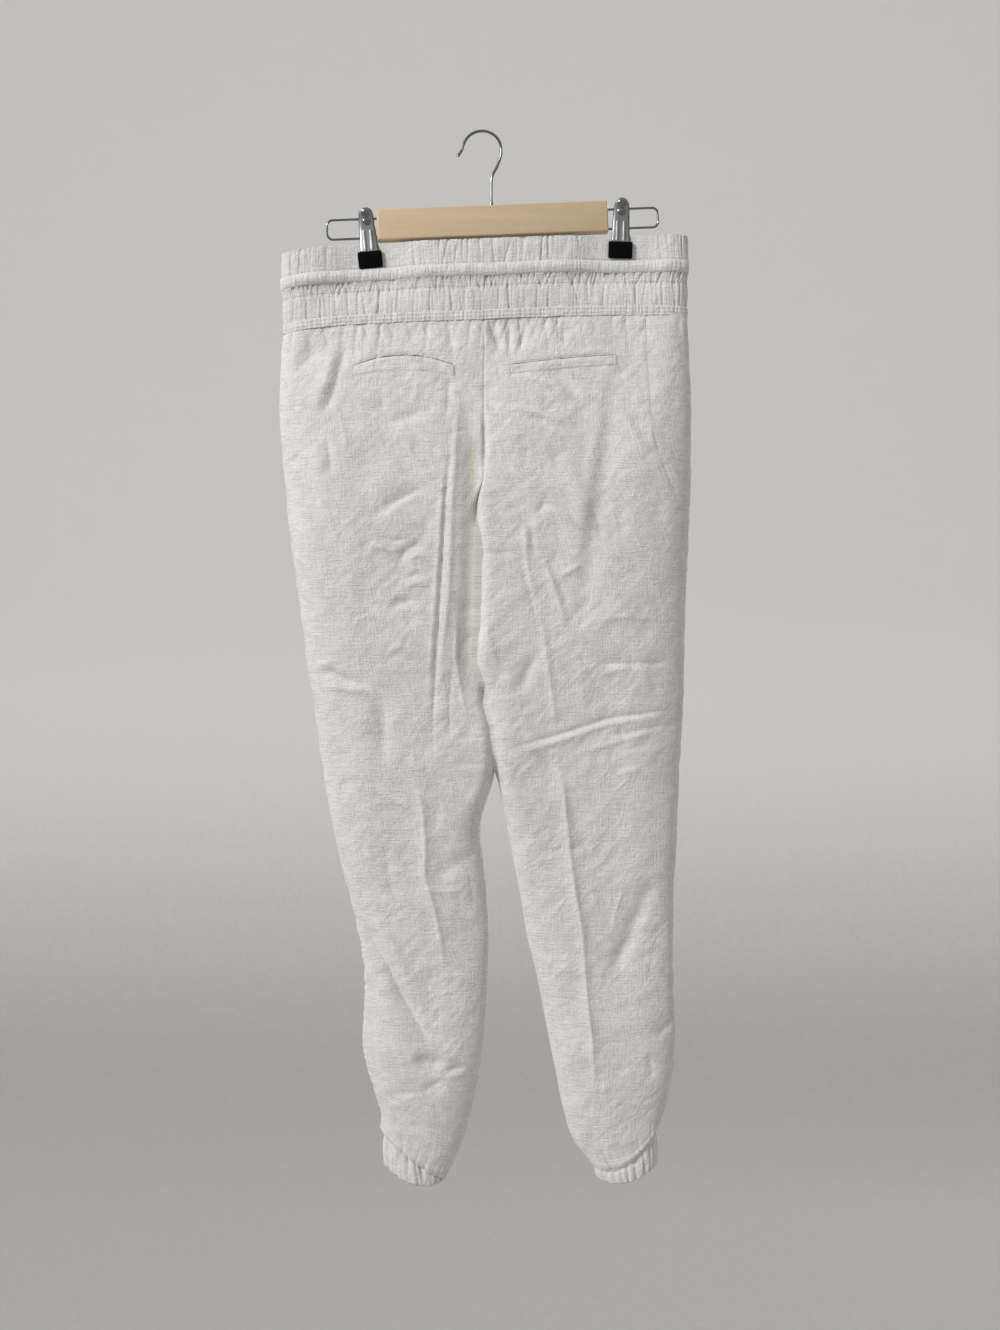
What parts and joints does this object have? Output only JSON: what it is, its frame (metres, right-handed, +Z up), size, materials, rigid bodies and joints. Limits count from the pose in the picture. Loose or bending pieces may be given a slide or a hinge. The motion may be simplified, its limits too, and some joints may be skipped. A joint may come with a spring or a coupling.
{
  "type": "linen drawstring trousers on a clip hanger",
  "caption": "Pull-on trousers with a corded, gathered elastic waistband, back welt pockets and elastic cuffs, held at the waist by a wooden bar hanger with sliding metal clips.",
  "frame": {"origin": "inner top of the hook's crook, where a nail or rail carries the hanger", "axes": "+X along the hanger bar, to the right seen from behind the trousers; +Y from the trousers' back to their front; +Z up"},
  "size_m": [0.4425, 0.0535, 1.1159],
  "materials": {
    "linen": "off-white slub linen, plain weave",
    "thread": "off-white thread",
    "wood": "pale beech, matt lacquer",
    "chrome": "chromed steel",
    "pad_rubber": "black dipped rubber"
  },
  "bodies": {
    "root": {"back_left": "linen", "back_right": "linen", "clip_left_back_pad": "pad_rubber", "clip_left_back_plate": "chrome", "clip_left_front_pad": "pad_rubber", "clip_left_front_plate": "chrome", "clip_left_rivet": "chrome", "clip_left_sleeve": "chrome", "clip_right_back_pad": "pad_rubber", "clip_right_back_plate": "chrome", "clip_right_front_pad": "pad_rubber", "clip_right_front_plate": "chrome", "clip_right_rivet": "chrome", "clip_right_sleeve": "chrome", "cuff_left": "linen", "cuff_right": "linen", "drawcord_tunnel": "linen", "eyelet_left": "thread", "eyelet_right": "thread", "front_left": "linen", "front_right": "linen", "hanger_bar": "wood", "hanger_hook": "chrome", "loop_left": "chrome", "loop_right": "chrome", "pocket_welt_left": "linen", "pocket_welt_right": "linen", "waist_seam_band": "linen", "waistband": "linen"}
  },
  "joints": []
}
